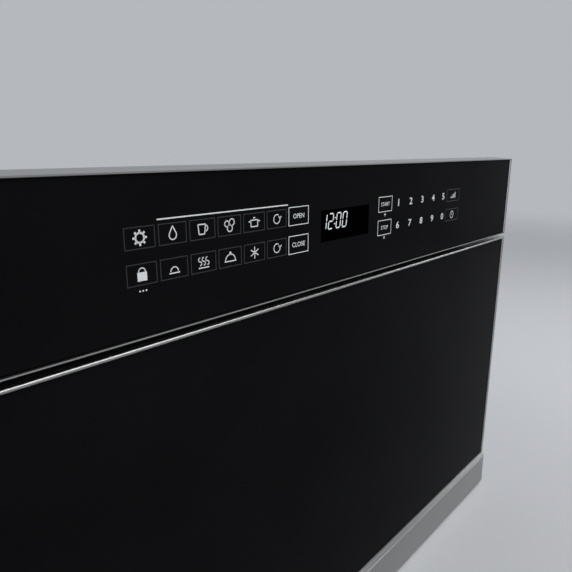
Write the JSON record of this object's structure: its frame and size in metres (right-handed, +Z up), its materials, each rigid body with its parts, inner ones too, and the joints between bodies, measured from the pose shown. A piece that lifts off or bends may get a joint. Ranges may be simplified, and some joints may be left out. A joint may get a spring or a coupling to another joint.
{
  "type": "built-in microwave drawer",
  "caption": "A built-in microwave oven with a black glass control panel over a motor-driven glass-fronted drawer on telescopic slides",
  "frame": {"origin": "On the standing plane, under the middle of the object's box", "axes": "+X to the right as the user faces the drawer, +Y into the cabinet, away from the user, +Z up"},
  "size_m": [0.606, 0.64, 0.4029],
  "materials": {
    "front_glass": "back-printed black glass, polished",
    "clear_glass": "clear tempered glass",
    "brushed_trim": "fine brushed stainless steel",
    "zinc_sheet": "zinc-coated sheet, satin",
    "cavity_enamel": "grey baked enamel",
    "door_enamel": "black baked enamel",
    "black_plastic": "moulded, satin",
    "light_plastic": "moulded, natural",
    "pan_floor": "dark glass-ceramic",
    "board": "solder-masked laminate with its parts",
    "winding": "varnished wire",
    "lamination": "stacked laminations, varnished",
    "aluminium": "plain"
  },
  "bodies": {
    "oven": {"air_duct": "black_plastic", "base_plate": "zinc_sheet", "capacitor": "aluminium", "capacitor_bracket": "zinc_sheet", "cavity_back_wall": "cavity_enamel", "cavity_floor": "cavity_enamel", "cavity_left_wall": "cavity_enamel", "cavity_right_wall": "cavity_enamel", "cavity_roof": "cavity_enamel", "control_panel_glass": "front_glass", "control_panel_housing": "black_plastic", "control_panel_trim": "brushed_trim", "cord_bushing": "black_plastic", "display_module": "black_plastic", "drive_motor": "black_plastic", "fan_motor": "lamination", "fan_shroud": "black_plastic", "front_plate": "zinc_sheet", "humidity_sensor": "light_plastic", "lamp_holder": "zinc_sheet", "left_latch_switch": "black_plastic", "left_outer_rail": "zinc_sheet", "left_side_panel": "zinc_sheet", "magnetron": "aluminium", "noise_filter_board": "board", "oven_lamp": "clear_glass", "power_board": "board", "primary_coil": "winding", "rear_panel": "zinc_sheet", "right_latch_switch": "black_plastic", "right_outer_rail": "zinc_sheet", "right_side_panel": "zinc_sheet", "secondary_coil": "winding", "stirrer_cover": "light_plastic", "stirrer_motor": "zinc_sheet", "top_cover": "zinc_sheet", "touch_board": "board", "transformer_core": "lamination", "waveguide": "zinc_sheet"},
    "drawer": {"drawer_glass": "front_glass", "drawer_edge_trim": "brushed_trim", "drawer_lower_strip": "brushed_trim", "drawer_frame": "door_enamel", "choke_cover": "black_plastic", "window_screen": "door_enamel", "inner_window": "clear_glass", "drawer_pan": "cavity_enamel", "ceramic_floor": "pan_floor", "drawer_rack": "light_plastic", "left_inner_rail": "zinc_sheet", "right_inner_rail": "zinc_sheet", "left_latch_hook": "light_plastic", "right_latch_hook": "light_plastic"},
    "left_middle_slide": {"left_mid_rail": "zinc_sheet"},
    "right_middle_slide": {"right_mid_rail": "zinc_sheet"},
    "pinion": {"drive_pinion": "light_plastic"},
    "cooling_fan": {"fan_blade": "light_plastic"},
    "stirrer": {"stirrer_blade": "aluminium"},
    "left_plunger": {"left_switch_plunger": "light_plastic"},
    "right_plunger": {"right_switch_plunger": "light_plastic"}
  },
  "joints": [
    {"name": "drawer_slide", "type": "slide", "parent": "oven", "child": "drawer", "axis": [0, -1, 0], "range_m": [0, 0.385]},
    {"name": "left_middle_rail_slide", "type": "slide", "parent": "oven", "child": "left_middle_slide", "axis": [0, -1, 0], "range_m": [0, 0.1925]},
    {"name": "right_middle_rail_slide", "type": "slide", "parent": "oven", "child": "right_middle_slide", "axis": [0, -1, 0], "range_m": [0, 0.1925]},
    {"name": "pinion_spin", "type": "hinge", "parent": "oven", "child": "pinion", "pos_m": [0.051, -0.2376, 0.0315], "axis": [0, 0, -1], "range_deg": [0, 1475]},
    {"name": "fan_spin", "type": "hinge", "parent": "oven", "child": "cooling_fan", "pos_m": [0.149, 0.2202, 0.22], "axis": [1, 0, 0], "continuous": true},
    {"name": "stirrer_spin", "type": "hinge", "parent": "oven", "child": "stirrer", "pos_m": [0, -0.0556, 0.267], "axis": [0, 0, 1], "continuous": true},
    {"name": "left_plunger_press", "type": "slide", "parent": "oven", "child": "left_plunger", "axis": [0, 1, 0], "range_m": [0, 0.002], "stiffness_N_per_m": 300, "springref_m": -0.001},
    {"name": "right_plunger_press", "type": "slide", "parent": "oven", "child": "right_plunger", "axis": [0, 1, 0], "range_m": [0, 0.002], "stiffness_N_per_m": 300, "springref_m": -0.001}
  ],
  "couplings": [
    {"joint": "left_middle_rail_slide", "follows": "drawer_slide", "ratio": 0.5},
    {"joint": "right_middle_rail_slide", "follows": "drawer_slide", "ratio": 0.5},
    {"joint": "pinion_spin", "follows": "drawer_slide", "rad_per_m": 66.667}
  ]
}
